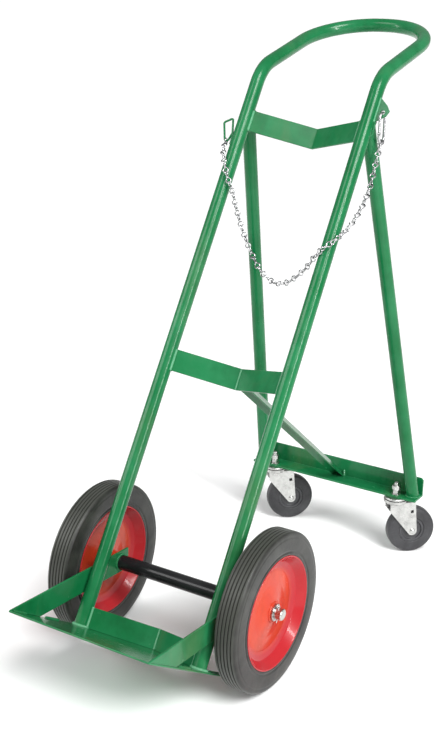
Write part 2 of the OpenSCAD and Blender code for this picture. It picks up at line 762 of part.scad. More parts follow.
hook_half = (hook_w - hook_wire) / 2;
hook_bend = hook_half - 0.5;
gate_r = hook_wire / 2 - 0.4;
gate_pivot = -hook_drop + hook_bend + 8;
gate_top = -hook_bend - 4.4;
tongue_half = 1.2;
rivet_r = 1;

module snap_hook() {
    nose = gate_top + 0.4;
    shank_end = gate_pivot - hook_wire / 2 - 0.5;
    color(zinc) hook_place() difference() {
        union() {
            upright_plane() bent_bar(
                [[-hook_half, shank_end], [-hook_half, -hook_drop], [hook_half, -hook_drop],
                 [hook_half, 0], [-hook_half, 0], [-hook_half, nose]],
                [0, hook_bend, hook_bend, hook_bend, hook_bend, 0], hook_wire / 2);
            translate([-tongue_half, -hook_half, gate_pivot]) rotate([0, 90, 0])
                cylinder(h = 2 * tongue_half, r = hook_wire / 2 - 0.2);
            translate([-tongue_half, -hook_half - 2, shank_end - past])
                cube([2 * tongue_half, 4, gate_pivot - shank_end + past]);
        }
        translate([-hook_wire, -hook_half, gate_pivot]) rotate([0, 90, 0])
            cylinder(h = 2 * hook_wire, r = rivet_r);
    }
}

module snap_hook_gate() {
    cheek_gap = 0.2;
    color(zinc) hook_place() difference() {
        union() {
            translate([0, -hook_half, gate_pivot]) cylinder(h = gate_top - gate_pivot, r = gate_r);
            translate([-gate_r, -hook_half, gate_pivot]) rotate([0, 90, 0])
                cylinder(h = 2 * gate_r, r = hook_wire / 2);
        }
        translate([-tongue_half - cheek_gap, -hook_half - hook_wire, gate_pivot - hook_wire])
            cube([2 * (tongue_half + cheek_gap), 2 * hook_wire, hook_wire * 1.6]);
        translate([-hook_wire, -hook_half, gate_pivot]) rotate([0, 90, 0])
            cylinder(h = 2 * hook_wire, r = rivet_r + run_gap);
    }
}

module snap_hook_rivet() {
    head_r = 1.9;
    head_t = 0.8;
    head_gap = 0.1;
    half = gate_r + head_gap;
    color(zinc) hook_place() translate([0, -hook_half, gate_pivot]) rotate([0, 90, 0])
        rotate_extrude() polygon([
            [0, -half - head_t], [head_r, -half - head_t], [head_r, -half], [rivet_r, -half],
            [rivet_r, half], [head_r, half], [head_r, half + head_t], [0, half + head_t]
        ]);
}

// ---- drawing ---------------------------------------------------------------------------

frame_tube();
toe_plate();
side_rail(-1);  // left_side_rail
side_rail(1);  // right_side_rail
upper_bracket();
middle_bracket();
lower_bracket();
rear_leg(-1);  // left_rear_leg
rear_leg(1);  // right_rear_leg
rear_crossbar();
rear_strut();
axle_tube();
axle();
axle_inner_washers();
axle_outer_washers();
axle_split_pins();
left_chain_eye();
right_chain_tab();
chain();
snap_hook();
snap_hook_gate();
snap_hook_rivet();
tyre(-1);  // left_tyre
outer_disc(-1);  // left_outer_disc
inner_disc(-1);  // left_inner_disc
hub(-1);  // left_hub
hub_bushes(-1);  // left_hub_bushes
tyre(1);  // right_tyre
outer_disc(1);  // right_outer_disc
inner_disc(1);  // right_inner_disc
hub(1);  // right_hub
hub_bushes(1);  // right_hub_bushes
caster_washers();
caster_nuts();
caster_cap(-1);  // left_caster_cap
caster_stem(-1);  // left_caster_stem
caster_balls(-1);  // left_caster_balls
caster_fork(-1);  // left_caster_fork
caster_axle_bolt(-1);  // left_caster_axle_bolt
caster_axle_nut(-1);  // left_caster_axle_nut
caster_bush(-1);  // left_caster_bush
caster_core(-1);  // left_caster_core
caster_tyre(-1);  // left_caster_tyre
caster_cap(1);  // right_caster_cap
caster_stem(1);  // right_caster_stem
caster_balls(1);  // right_caster_balls
caster_fork(1);  // right_caster_fork
caster_axle_bolt(1);  // right_caster_axle_bolt
caster_axle_nut(1);  // right_caster_axle_nut
caster_bush(1);  // right_caster_bush
caster_core(1);  // right_caster_core
caster_tyre(1);  // right_caster_tyre
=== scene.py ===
"""Gas cylinder trolley: the finished looks of its frame, wheels, casters and chain."""

import json
from math import acos, atan2, cos, pi, radians, sin

import bpy
from bpy.props import FloatProperty, FloatVectorProperty, IntProperty, PointerProperty
from mathutils import Euler, Matrix, Vector

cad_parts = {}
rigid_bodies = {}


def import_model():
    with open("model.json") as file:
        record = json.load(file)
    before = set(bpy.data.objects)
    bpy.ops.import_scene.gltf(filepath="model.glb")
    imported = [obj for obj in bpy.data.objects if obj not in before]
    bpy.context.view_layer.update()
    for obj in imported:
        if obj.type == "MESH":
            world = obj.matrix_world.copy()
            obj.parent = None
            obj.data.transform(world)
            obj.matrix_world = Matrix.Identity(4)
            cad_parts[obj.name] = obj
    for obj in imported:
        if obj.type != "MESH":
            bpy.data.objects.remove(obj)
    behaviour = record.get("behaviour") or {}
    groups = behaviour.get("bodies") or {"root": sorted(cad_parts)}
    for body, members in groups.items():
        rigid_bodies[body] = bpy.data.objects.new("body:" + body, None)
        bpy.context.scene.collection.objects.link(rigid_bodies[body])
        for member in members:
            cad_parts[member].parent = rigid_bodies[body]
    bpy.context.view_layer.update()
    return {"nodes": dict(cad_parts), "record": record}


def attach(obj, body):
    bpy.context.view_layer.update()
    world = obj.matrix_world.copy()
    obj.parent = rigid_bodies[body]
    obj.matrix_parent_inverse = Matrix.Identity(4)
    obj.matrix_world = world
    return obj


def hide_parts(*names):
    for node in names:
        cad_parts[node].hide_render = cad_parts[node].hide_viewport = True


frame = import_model()

bl_info = {
    "name": "Gas cylinder trolley",
    "version": (1, 0, 0),
    "blender": (4, 5, 0),
    "location": "View3D > Sidebar > Trolley",
    "description": "Finished pieces of a gas cylinder trolley",
    "category": "Add Mesh",
}

MM = 0.001
SIDES = (("left", -1), ("right", 1))

# Points closer than these are one: in a drawn outline, and in a copied construction node
SAME_POINT = 0.000002
SAME_CORNER = 0.00001

# Rounding of the edges of small pieces, in metres
SHARP_EDGE = 0.0002
FINE_EDGE = 0.0003
SOFT_EDGE = 0.0004
FORK_EDGE = 0.0005
HUB_EDGE = 0.0006

# Faces that meet at this many degrees or more have an edge between them
CORNER = 32.0

# Flats round the smaller turned pieces
FEW_STEPS = 96


def length(label, text, default):
    """A size in metres that the panel shows."""
    return FloatProperty(
        name=label, description=text, default=default, min=0.0, unit="LENGTH", precision=4
    )


def angle(label, text, degrees):
    """A turn that the panel shows in degrees."""
    return FloatProperty(name=label, description=text, default=radians(degrees), subtype="ANGLE")


def colour(label, text, default):
    """A paint or metal colour that the panel shows."""
    return FloatVectorProperty(
        name=label, description=text, default=default, min=0.0, max=1.0, size=3, subtype="COLOR"
    )


class TrolleySizes(bpy.types.PropertyGroup):
    lean: angle("Lean", "Lean of the uprights back from vertical", 32.25)
    foot_y: length("Foot Y", "Foot of the uprights along the trolley, towards the toe plate", 0.430093)
    foot_z: length("Foot height", "Height of the foot of the uprights", 0.09754)
    upright_x: length("Upright", "Distance of an upright's centreline from the middle", 0.1525)
    upright_length: length("Upright length", "Centreline length of an upright", 1.337)
    tube_radius: length("Tube radius", "Outside radius of the frame tubes", 0.016)
    edge: length("Edge rounding", "Rounding of the edges of the flat bars and plate", 0.0010)
    weld: length("Weld bead", "Radius of a weld bead", 0.0036)
    weld_step: length("Weld ripple", "Distance between the ripples of a weld bead", 0.0028)


class WheelSizes(bpy.types.PropertyGroup):
    axle_y: length("Axle Y", "Axle's place along the trolley, towards the toe plate", 0.262387)
    axle_z: length("Axle height", "Height of the axle above the floor", 0.175)
    wheel_x: length("Wheel", "Distance of a wheel's middle plane from the middle", 0.2145)
    wheel_radius: length("Wheel radius", "Outside radius of a main wheel", 0.175)
    tyre_width: length("Tyre width", "Width of a main tyre", 0.053)
    lip_radius: length("Rim lip radius", "Radius of the edge of the pressed rim", 0.124)
    grooves: IntProperty(name="Grooves", description="Grooves round the tread", default=5, min=0, max=9)
    groove_depth: length("Groove depth", "Depth of a tread groove", 0.003)
    steps: IntProperty(
        name="Turned steps", description="Flats round a turned piece", default=128, min=24, max=256
    )


class CasterSizes(bpy.types.PropertyGroup):
    swivel_x: length("Swivel", "Distance of a swivel from the middle", 0.1795)
    swivel_y: length("Swivel Y", "Swivel's place along the trolley", 0.457813)
    turn: angle("Turn", "Angle that the casters are turned at rest", -46.4)
    trail: length("Trail", "Distance of the caster axle behind the swivel", 0.0436)
    wheel_radius: length("Caster radius", "Radius of a caster wheel", 0.0625)
    wheel_width: length("Caster width", "Width of a caster wheel", 0.032)


class ChainSizes(bpy.types.PropertyGroup):
    wire: length("Chain wire", "Wire radius of the chain", 0.0015)
    loop: length("Chain loop", "Centreline radius of a link's loops", 0.006)
    pitch: length("Chain pitch", "Distance from one link to the next", 0.026)
    half_width: length("Chain spread", "Half the distance between the chain's ends", 0.1835)
    front: length("Chain reach", "How far the chain stands in front of the uprights", 0.025)
    hook_drop: length("Hook drop", "Height of the snap hook between its two end bars", 0.064)


class TrolleyFinishes(bpy.types.PropertyGroup):
    green: colour("Frame green", "Gloss enamel of the welded frame", (0.001, 0.120, 0.032))
    green_light: colour("Light green", "Green where the enamel is thin", (0.05, 0.30, 0.14))
    # Painted highlight: the pale green laid over the ripples of a weld
    weld: colour("Weld green", "Thin green over the ripples of a weld", (0.17, 0.37, 0.23))
    red: colour("Wheel red", "Gloss enamel of the wheel discs", (0.48, 0.040, 0.013))
    # Painted shade: the deeper red that darkens the rim wall of a disc
    red_rim_shade: colour("Deep red", "Red of the rim wall, where the coat is thick", (0.36, 0.010, 0.024))
    red_light: colour("Light red", "Red where the enamel is thin", (0.66, 0.085, 0.04))
    black: colour("Axle tube black", "Gloss enamel of the axle tube", (0.008, 0.008, 0.009))
    zinc: colour("Zinc", "Bright zinc plate", (0.56, 0.56, 0.545))
    zinc_dull: colour("Dull zinc", "Zinc plate where it is handled", (0.43, 0.43, 0.42))
    chain: colour("Chain zinc", "Zinc plate of the chain and snap hook", (0.52, 0.52, 0.53))
    # Painted dark reflection: the dark clouds of the chain and snap hook zinc
    chain_dark_reflection: colour("Dull chain zinc", "Chain zinc where the links rub", (0.13, 0.13, 0.14))
    tyre: colour("Tyre", "Moulded rubber of the main tyres", (0.006, 0.006, 0.0055))
    tyre_dust: colour("Tyre dust", "Dry bloom on the tyres", (0.045, 0.047, 0.040))
    # Painted sheen: the lighter tone of the tops of the tread's ribs
    tyre_rib_sheen: colour("Rubbed tyre", "Tops of the tread's ribs", (0.048, 0.051, 0.043))
    caster: colour("Caster tread", "Rubber of the caster wheels", (0.022, 0.022, 0.024))
    bronze: colour("Bronze", "Plain bearing bronze", (0.5, 0.3, 0.12))


class TrolleyStage(bpy.types.PropertyGroup):
    floor: colour("Floor", "Plain pale floor", (0.93, 0.93, 0.93))
    sky: FloatProperty(name="Room light", description="Strength of the light all round", default=0.34)
    sun: FloatProperty(name="Flood light", description="Strength of the light from above", default=2.7)
    strip: FloatProperty(
        name="Strip light", description="Power of the narrow strip lights", default=70.0, unit="POWER"
    )
    eye_height: length("Eye height", "Height of the camera above the floor", 1.49329)


def sizes():
    return bpy.context.scene.trolley_sizes


# ---- hand tools ------------------------------------------------------------------------


def put_down():
    """Leave edit mode and deselect everything."""
    if bpy.context.object and bpy.context.object.mode != "OBJECT":
        bpy.ops.object.mode_set(mode="OBJECT")
    bpy.ops.object.select_all(action="DESELECT")


def take(*objs):
    """Select these objects only, with the first one active."""
    put_down()
    for obj in objs:
        obj.select_set(True)
    bpy.context.view_layer.objects.active = objs[0]


def edit(obj):
    take(obj)
    bpy.ops.object.mode_set(mode="EDIT")
    bpy.ops.mesh.select_all(action="SELECT")


def copy_of(obj, name):
    take(obj)
    bpy.ops.object.duplicate(linked=False)
    made = bpy.context.object
    made.name = name
    return made


def discard(*patterns):
    """Delete patterns whose copies are in place."""
    take(*patterns)
    bpy.ops.object.delete()


def merge_points():
    """Merge points that lie on one another, and leave everything selected."""
    bpy.ops.mesh.select_all(action="SELECT")
    bpy.ops.mesh.remove_doubles(threshold=SAME_POINT)
    bpy.ops.mesh.select_all(action="SELECT")


def seat(obj, matrix):
    """Put a finished piece in its place, with the place in its mesh."""
    take(obj)
    obj.matrix_world = matrix
    bpy.ops.object.transform_apply(location=True, rotation=True, scale=True)
    return obj


def smooth(obj, crease=CORNER):
    take(obj)
    bpy.ops.object.shade_smooth_by_angle(angle=radians(crease))


def apply_modifier(obj, kind, **settings):
    """Add a modifier, set it and apply it."""
    take(obj)
    bpy.ops.object.modifier_add(type=kind)
    modifier = obj.modifiers[-1]
    for key, value in settings.items():
        setattr(modifier, key, value)
    bpy.ops.object.modifier_apply(modifier=modifier.name)


def round_edges(obj, width):
    """Break the sharp edges and keep the flats flat."""
    apply_modifier(
        obj, "BEVEL", width=width, segments=2, limit_method="ANGLE",
        angle_limit=radians(CORNER), use_clamp_overlap=True,
    )
    smooth(obj, 50)
    apply_modifier(obj, "WEIGHTED_NORMAL", keep_sharp=True, weight=60)


def first_point(name, at):
    """A mesh of one point, started from a plane that is merged at its centre."""
    put_down()
    bpy.ops.mesh.primitive_plane_add(size=MM, location=(0, 0, 0))
    obj = bpy.context.object
    obj.name = name
    edit(obj)
    bpy.ops.mesh.merge(type="CENTER")
    bpy.ops.mesh.select_all(action="SELECT")
    bpy.ops.transform.translate(value=at)
    return obj


def draw_line(name, points):
    """An edge chain through the points, extruded point by point."""
    obj = first_point(name, points[0])
    for before, after in zip(points, points[1:]):
        step = Vector(after) - Vector(before)
        bpy.ops.mesh.extrude_vertices_move(TRANSFORM_OT_translate={"value": step})
    return obj


def turned(name, outline, steps):
    """Lathe work: a closed outline of radius and height in millimetres, spun about Z."""
    points = [(r * MM, 0, z * MM) for r, z in outline]
    obj = draw_line(name, points + points[:1])
    merge_points()
    bpy.ops.mesh.spin(steps=steps, angle=2 * pi, center=(0, 0, 0), axis=(0, 0, 1))
    merge_points()
    bpy.ops.mesh.normals_make_consistent(inside=False)
    put_down()
    smooth(obj, 38)
    return obj


def eased(outline, radius, count):
    """The same closed outline with its corners eased by a small radius."""
    most = 0.42  # share of a side that one corner may take
    points = []
    total = len(outline)
    for i, corner in enumerate(outline):
        here = Vector(corner)
        back = Vector(outline[i - 1]) - here
        ahead = Vector(outline[(i + 1) % total]) - here
        room = min(radius, back.length * most, ahead.length * most)
        start = here + back.normalized() * room
        end = here + ahead.normalized() * room
        for k in range(count + 1):
            t = k / count
            points.append(tuple((1 - t) ** 2 * start + 2 * t * (1 - t) * here + t * t * end))
    return points


def both_sides(outline):
    """A half outline and its mirror image."""
    return outline + [(r, -z) for r, z in reversed(outline)]


def closed_wire(name, points, radius):
    """Round wire along the points and back to the first one."""
    obj = draw_line(name, points + points[:1])
    merge_points()
    take(obj)
    bpy.ops.object.convert(target="CURVE")
    obj = bpy.context.object
    obj.data.bevel_depth = radius
    obj.data.bevel_resolution = 1
    bpy.ops.object.convert(target="MESH")
    obj = bpy.context.object
    edit(obj)
    merge_points()
    bpy.ops.mesh.normals_make_consistent(inside=False)
    put_down()
    smooth(obj, 60)
    return obj


def bead(name, points, radius, step):
    """A weld bead: overlapping ripples laid along a path, no two next to each other the same size."""
    growth, rhythm = 0.05, 2.4
    put_down()
    laid = [Vector(points[0])]
    left = step
    for a, b in zip(points, points[1:]):
        a, b = Vector(a), Vector(b)
        run = (b - a).length
        gone = left
        while gone <= run:
            laid.append(a + (b - a) * (gone / run))
            gone += step
        left = gone - run
    bpy.ops.mesh.primitive_uv_sphere_add(segments=8, ring_count=6, radius=radius, location=laid[0])
    obj = bpy.context.object
    obj.name = name
    edit(obj)
    for i, (a, b) in enumerate(zip(laid, laid[1:])):
        bpy.ops.mesh.duplicate_move(TRANSFORM_OT_translate={"value": b - a})
        grow = 1 + growth * sin(i * rhythm)
        bpy.ops.transform.resize(value=(grow, grow, grow), center_override=b)
    take(obj)
    bpy.ops.object.transform_apply(location=True, rotation=True, scale=True)
    smooth(obj, 60)
    return obj


def joined(name, *objs):
    take(*objs)
    bpy.ops.object.join()
    obj = bpy.context.object
    obj.name = name
    return obj


def leaning(x, s, n):
    """A point on the leaning uprights: across, up along them, and behind them, in metres."""
    size = sizes()
    up, out = sin(size.lean), cos(size.lean)
    return Vector((x, -size.foot_y + s * up + n * out, size.foot_z + s * out - n * up))


def unit(v):
    return Vector(v).normalized()


# ---- finishes --------------------------------------------------------------------------


# Factor, A and B among the sockets of Blender's Mix node when it mixes colours
MIX_SOCKETS = (0, 6, 7)

# Distances from the axle, in metres, over which a wheel's red turns into the painted shade of its rim
# wall
RIM_SHADE_BAND = (0.084, 0.098)

# Depths under a tyre's tread, in metres, between which its rubber is painted lighter, a painted sheen on
# the ribs
RIB_SHEEN_DEPTHS = (0.0022, 0.0003)


class Surface:
    """A procedural material on Object coordinates, built up node by node."""

    def __init__(self, name, **constants):
        self.material = bpy.data.materials.new(name)
        self.material.use_nodes = True
        self.nodes = self.material.node_tree.nodes
        self.links = self.material.node_tree.links
        self.shader = self.nodes["Principled BSDF"]
        for key, value in constants.items():
            self.shader.inputs[key.replace("_", " ")].default_value = value
        self.place = self.nodes.new("ShaderNodeTexCoord").outputs["Object"]
        self.height = None

    def noise(self, scale, detail=3.0, rough=0.5, stretch=(1, 1, 1), distort=0.0):
        place = self.nodes.new("ShaderNodeMapping")
        place.inputs["Scale"].default_value = stretch
        self.links.new(self.place, place.inputs["Vector"])
        node = self.nodes.new("ShaderNodeTexNoise")
        node.inputs["Scale"].default_value = scale
        node.inputs["Detail"].default_value = detail
        node.inputs["Roughness"].default_value = rough
        node.inputs["Distortion"].default_value = distort
        self.links.new(place.outputs["Vector"], node.inputs["Vector"])
        return node.outputs["Fac"]

    def reach(self):
        """Distance in metres from the main wheels' axle."""
        wheel = bpy.context.scene.trolley_wheels
        place = self.nodes.new("ShaderNodeMapping")
        place.inputs["Scale"].default_value = (0, 1, 1)
        place.inputs["Location"].default_value = (0, wheel.axle_y, -wheel.axle_z)
        self.links.new(self.place, place.inputs["Vector"])
        size = self.nodes.new("ShaderNodeVectorMath")
        size.operation = "LENGTH"
        self.links.new(place.outputs["Vector"], size.inputs[0])
        return size.outputs["Value"]

    def between(self, source, low, high, share):
        """Nothing below low, rising to a share above high."""
        node = self.nodes.new("ShaderNodeMapRange")
        node.inputs["From Min"].default_value = low
        node.inputs["From Max"].default_value = high
        node.inputs["To Max"].default_value = share
        self.links.new(source, node.inputs["Value"])
        return node.outputs["Result"]

    def spots(self, scale):
        node = self.nodes.new("ShaderNodeTexVoronoi")
        node.inputs["Scale"].default_value = scale
        self.links.new(self.place, node.inputs["Vector"])
        return node.outputs["Distance"]

    def ramp(self, source, stops):
        node = self.nodes.new("ShaderNodeValToRGB")
        points = node.color_ramp.elements
        while len(points) < len(stops):
            points.new(0.5)
        for point, (place, shade) in zip(points, stops):
            point.position = place
            point.color = (*shade, 1) if hasattr(shade, "__len__") else (shade, shade, shade, 1)
        self.links.new(source, node.inputs["Fac"])
        return node.outputs["Color"]

    def mix(self, share, a, b):
        node = self.nodes.new("ShaderNodeMix")
        node.data_type = "RGBA"
        for index, value in zip(MIX_SOCKETS, (share, a, b)):
            socket = node.inputs[index]
            if hasattr(value, "links"):
                self.links.new(value, socket)
            elif hasattr(value, "__len__"):
                socket.default_value = (*value, 1)
            else:
                socket.default_value = value
        return node.outputs[2]

    def edges(self, radius):
        """White along the broken edges, black on the flats."""
        soft = self.nodes.new("ShaderNodeBevel")
        soft.samples = 4
        soft.inputs["Radius"].default_value = radius
        flat = self.nodes.new("ShaderNodeNewGeometry")
        dot = self.nodes.new("ShaderNodeVectorMath")
        dot.operation = "DOT_PRODUCT"
        self.links.new(soft.outputs["Normal"], dot.inputs[0])
        self.links.new(flat.outputs["Normal"], dot.inputs[1])
        return self.ramp(dot.outputs["Value"], [(0.82, 1.0), (0.97, 0.0)])

    def base(self, source):
        self.links.new(source, self.shader.inputs["Base Color"])

    def rough(self, source, low, high):
        node = self.nodes.new("ShaderNodeMapRange")
        node.inputs["To Min"].default_value = low
        node.inputs["To Max"].default_value = high
        self.links.new(source, node.inputs["Value"])
        self.links.new(node.outputs["Result"], self.shader.inputs["Roughness"])

    def bump(self, source, strength, distance):
        node = self.nodes.new("ShaderNodeBump")
        node.inputs["Strength"].default_value = strength
        node.inputs["Distance"].default_value = distance
        self.links.new(source, node.inputs["Height"])
        if self.height is not None:
            self.links.new(self.height, node.inputs["Normal"])
        self.height = node.outputs["Normal"]
        self.links.new(self.height, self.shader.inputs["Normal"])


def dimmed(shade, share):
    """The same colour, darker or lighter by a share."""
    return tuple(share * c for c in shade)


def enamel(
    name, full, thin, bare,
    worn_share=0.35, worn_from=0.70, reflection_tint=(0.09, 0.13, 0.055), reflection_tint_share=0.4, rim=None,
):
    """Gloss enamel over steel: slight orange peel, thin edges, a few small chips, streaks of painted
    reflection tint and, on a wheel, a painted shade on its rim wall.
    """
    coat = Surface(name, Metallic=0.0, Coat_Weight=0.16, Coat_Roughness=0.04, Specular_IOR_Level=0.2)
    cloud = coat.noise(9, 4, 0.55)
    thinner = tuple(0.7 * a + 0.3 * b for a, b in zip(full, thin))
    body = coat.ramp(cloud, [(0.3, full), (0.72, thinner)])
    # Painted reflection: streaks of a tint laid over the body colour, olive on the green and crimson on
    # the red
    streak = coat.noise(5, 5, 0.6, stretch=(1.6, 1.0, 0.35), distort=0.5)
    body = coat.mix(coat.ramp(streak, [(0.52, 0.0), (0.72, reflection_tint_share)]), body, reflection_tint)
    deep = coat.noise(22, 4, 0.6, stretch=(1, 1, 0.5))
    body = coat.mix(coat.ramp(deep, [(0.5, 0.0), (0.75, 0.45)]), body, dimmed(full, 0.55))
    # Painted shade: the rim wall is painted a deeper red than the face of the disc
    if rim:
        body = coat.mix(coat.between(coat.reach(), *RIM_SHADE_BAND, 0.8), body, rim)
    edge = coat.edges(0.0012)
    worn = coat.mix(edge, body, thin)
    grit = coat.noise(160, 5, 0.6)
    chips = coat.ramp(grit, [(0.735, 0.0), (0.745, 1.0)])
    scratch = coat.noise(60, 4, 0.7, stretch=(9, 1, 1), distort=0.4)
    scuffs = coat.ramp(scratch, [(worn_from, 0.0), (0.78, worn_share)])
    coat.base(coat.mix(scuffs, coat.mix(chips, worn, bare), thin))
    coat.rough(coat.noise(30, 4, 0.6), 0.13, 0.34)
    coat.bump(coat.noise(420, 2, 0.5), 0.18, 0.0004)
    coat.bump(coat.noise(45, 3, 0.5), 0.12, 0.0012)


def zinc_plate(name, bright, dull_and_dark_reflection, low=0.16, high=0.42):
    """Plated or ground metal: cloudy, with a faint spangle and fine scratches; on the chain and snap
    hook the dark clouds are a painted dark reflection.
    """
    metal = Surface(name, Metallic=1.0, Specular_IOR_Level=0.5)
    cloud = metal.noise(55, 5, 0.62)
    spangle = tuple(min(1, 1.18 * c) for c in bright)
    metal.base(metal.ramp(cloud, [(0.32, dull_and_dark_reflection), (0.5, bright), (0.75, spangle)]))
    metal.rough(metal.noise(120, 4, 0.65), low, high)
    metal.bump(metal.noise(700, 3, 0.6, stretch=(1, 1, 0.3)), 0.12, 0.0002)
    metal.bump(metal.spots(260), 0.04, 0.0003)


def moulded_rubber(name, dark, dust, low, high, rib_sheen=None):
    """Moulded rubber with a dry bloom, and a painted sheen that lightens the ribs of a tread."""
    rubber = Surface(
        name, Metallic=0.0, Specular_IOR_Level=0.36, Sheen_Weight=0.12, Sheen_Roughness=0.4
    )
    cloud = rubber.noise(14, 5, 0.65, distort=0.6)
    grain = rubber.noise(220, 4, 0.6)
    body = rubber.ramp(cloud, [(0.35, dark), (0.8, dust)])
    body = rubber.mix(rubber.ramp(grain, [(0.62, 0.0), (0.8, 0.5)]), body, dust)
    if rib_sheen:
        # Painted sheen: the tops of the ribs painted lighter than the grooves
        low_rib, high_rib = (bpy.context.scene.trolley_wheels.wheel_radius - deep for deep in RIB_SHEEN_DEPTHS)
        body = rubber.mix(rubber.between(rubber.reach(), low_rib, high_rib, 0.75), body, rib_sheen)
    rubber.base(body)
    rubber.rough(rubber.noise(40, 4, 0.6), low, high)
    rubber.bump(grain, 0.25, 0.0005)
    rubber.bump(rubber.noise(900, 2, 0.5), 0.2, 0.0002)


def moulded_plastic(name, dark):
    plastic = Surface(name, Metallic=0.0, Specular_IOR_Level=0.5)
    plastic.base(plastic.ramp(plastic.noise(40, 4), [(0.3, dark), (0.8, dimmed(dark, 1.9))]))
    plastic.rough(plastic.noise(90, 3), 0.3, 0.5)
    plastic.bump(plastic.noise(500, 3), 0.15, 0.0003)


def bearing_bronze(name, tone):
    bronze = Surface(name, Metallic=1.0)
    bronze.base(bronze.ramp(bronze.noise(80, 5), [(0.3, dimmed(tone, 0.7)), (0.7, tone)]))
    bronze.rough(bronze.noise(150, 3), 0.25, 0.45)
    bronze.bump(bronze.noise(900, 2, stretch=(0.1, 1, 1)), 0.2, 0.0002)


def make_finishes():
    shade = bpy.context.scene.trolley_finishes
    enamel("green enamel", shade.green, shade.green_light, bare=(0.10, 0.16, 0.12))
    # Painted highlight on weld ripples: light green, with wide pale scuffs
    enamel(
        "green enamel with painted weld highlights", shade.green_light, shade.weld, bare=(0.45, 0.47, 0.43),
        worn_share=0.9, worn_from=0.40,
    )
    enamel(
        "red enamel", shade.red, shade.red_light, bare=(0.35, 0.06, 0.045),
        reflection_tint=(0.34, 0.014, 0.026), reflection_tint_share=0.45, rim=tuple(shade.red_rim_shade),
    )
    enamel(
        "black enamel", shade.black, (0.05, 0.05, 0.052), bare=(0.16, 0.16, 0.16),
        reflection_tint=(0.02, 0.02, 0.021),
    )
    zinc_plate("zinc plate", shade.zinc, shade.zinc_dull)
    zinc_plate("chain zinc", shade.chain, shade.chain_dark_reflection, low=0.12, high=0.3)
    zinc_plate("ground steel", (0.7, 0.7, 0.72), (0.5, 0.5, 0.52), low=0.06, high=0.16)
    moulded_rubber(
        "tyre rubber", shade.tyre, shade.tyre_dust, low=0.3, high=0.55, rib_sheen=tuple(shade.tyre_rib_sheen)
    )
    moulded_rubber("caster rubber", shade.caster, dust=(0.07, 0.07, 0.075), low=0.4, high=0.6)
    moulded_plastic("caster plastic", dark=(0.03, 0.03, 0.033))
    bearing_bronze("bronze", shade.bronze)


# The material that stands for each of the record's material slots
FINISH_NAMES = {
    "green_paint": "green enamel", "red_paint": "red enamel", "black_paint": "black enamel",
    "zinc_plate": "zinc plate", "ball_steel": "ground steel", "tyre_rubber": "tyre rubber",
    "caster_rubber": "caster rubber", "caster_plastic": "caster plastic", "bronze": "bronze",
}


def paint(obj, slot, body, finish=None):
    """Give a finished piece its finish and the body that it moves with."""
    obj.data.materials.clear()
    obj.data.materials.append(bpy.data.materials[finish or FINISH_NAMES[slot]])
    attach(obj, body)


def dressed(node, slot, body, width=0.0, finish=None):
    """A finished copy of a construction node, merged, with its edges broken if a width is given."""
    obj = copy_of(frame["nodes"][node], node + "_finished")
    bpy.ops.object.parent_clear(type="CLEAR_KEEP_TRANSFORM")
    bpy.ops.object.transform_apply(location=True, rotation=True, scale=True)
    bpy.ops.mesh.customdata_custom_splitnormals_clear()
    edit(obj)
    bpy.ops.mesh.remove_doubles(threshold=SAME_CORNER)
    if width > 0:
        bpy.ops.mesh.dissolve_limited(angle_limit=radians(0.5))
    bpy.ops.mesh.normals_make_consistent(inside=False)
    put_down()
    if width > 0:
        round_edges(obj, width)
    else:
        smooth(obj)
    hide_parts(node)
    paint(obj, slot, body, finish)


def mounted(pattern, node, place, slot, body):
    """A finished copy of a turned pattern, in the place of a construction node."""
    obj = seat(copy_of(pattern, node + "_finished"), place)
    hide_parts(node)
    paint(obj, slot, body)


class TROLLEY_OT_finishes(bpy.types.Operator):
    """Make the paints, plating and rubbers, and put them on every construction node"""
    bl_idname = "trolley.finishes"
    bl_label = "Finishes"

    def execute(self, context):
        make_finishes()
        slots = {row["node"]: row["material_slot"] for row in frame["record"]["subparts"]}
        for name, node in frame["nodes"].items():
            node.data.materials.clear()
            node.data.materials.append(bpy.data.materials[FINISH_NAMES[slots[name]]])
        return {"FINISHED"}


# ---- welded frame ----------------------------------------------------------------------


class TROLLEY_OT_tubes(bpy.types.Operator):
    """Frame tube, rear legs, axle tube and chain eye with smooth bends"""
    bl_idname = "trolley.tubes"
    bl_label = "Tubes"

    def execute(self, context):
        for node in ("frame_tube", "left_rear_leg", "right_rear_leg", "left_chain_eye"):
            dressed(node, "green_paint", "frame")
        dressed("axle_tube", "black_paint", "frame")
        return {"FINISHED"}


class TROLLEY_OT_bars(bpy.types.Operator):
    """Toe plate, rails, brackets and angle irons with broken edges"""
    bl_idname = "trolley.bars"
    bl_label = "Bars and plate"

    def execute(self, context):
        edge = sizes().edge
        for node in (
            "toe_plate", "left_side_rail", "right_side_rail", "upper_bracket", "middle_bracket",
            "lower_bracket", "rear_crossbar", "rear_strut", "right_chain_tab",
        ):
            dressed(node, "green_paint", "frame", edge)
        return {"FINISHED"}


# Weld runs up along the uprights, in metres from their foot
BRACKET_RUNS = ((1.179, 1.225), (0.593, 0.639), (0.002, 0.044))
TAB_RUN = (1.228, 1.282)
EYE_RUN = (1.140, 1.156)
# Weld runs along the side rails, in metres behind the uprights' foot
RAIL_RUNS = ((-0.226, -0.186), (-0.112, -0.066), (0.020, 0.062))
# Seams on the uprights, in metres: across and behind them, or behind them only
BRACKET_SEAMS = ((0.1362, -0.0004), (0.1370, 0.0060))
FOLD_SEAM = 0.0668
ROD_SEAMS = (-0.0024, 0.0024)
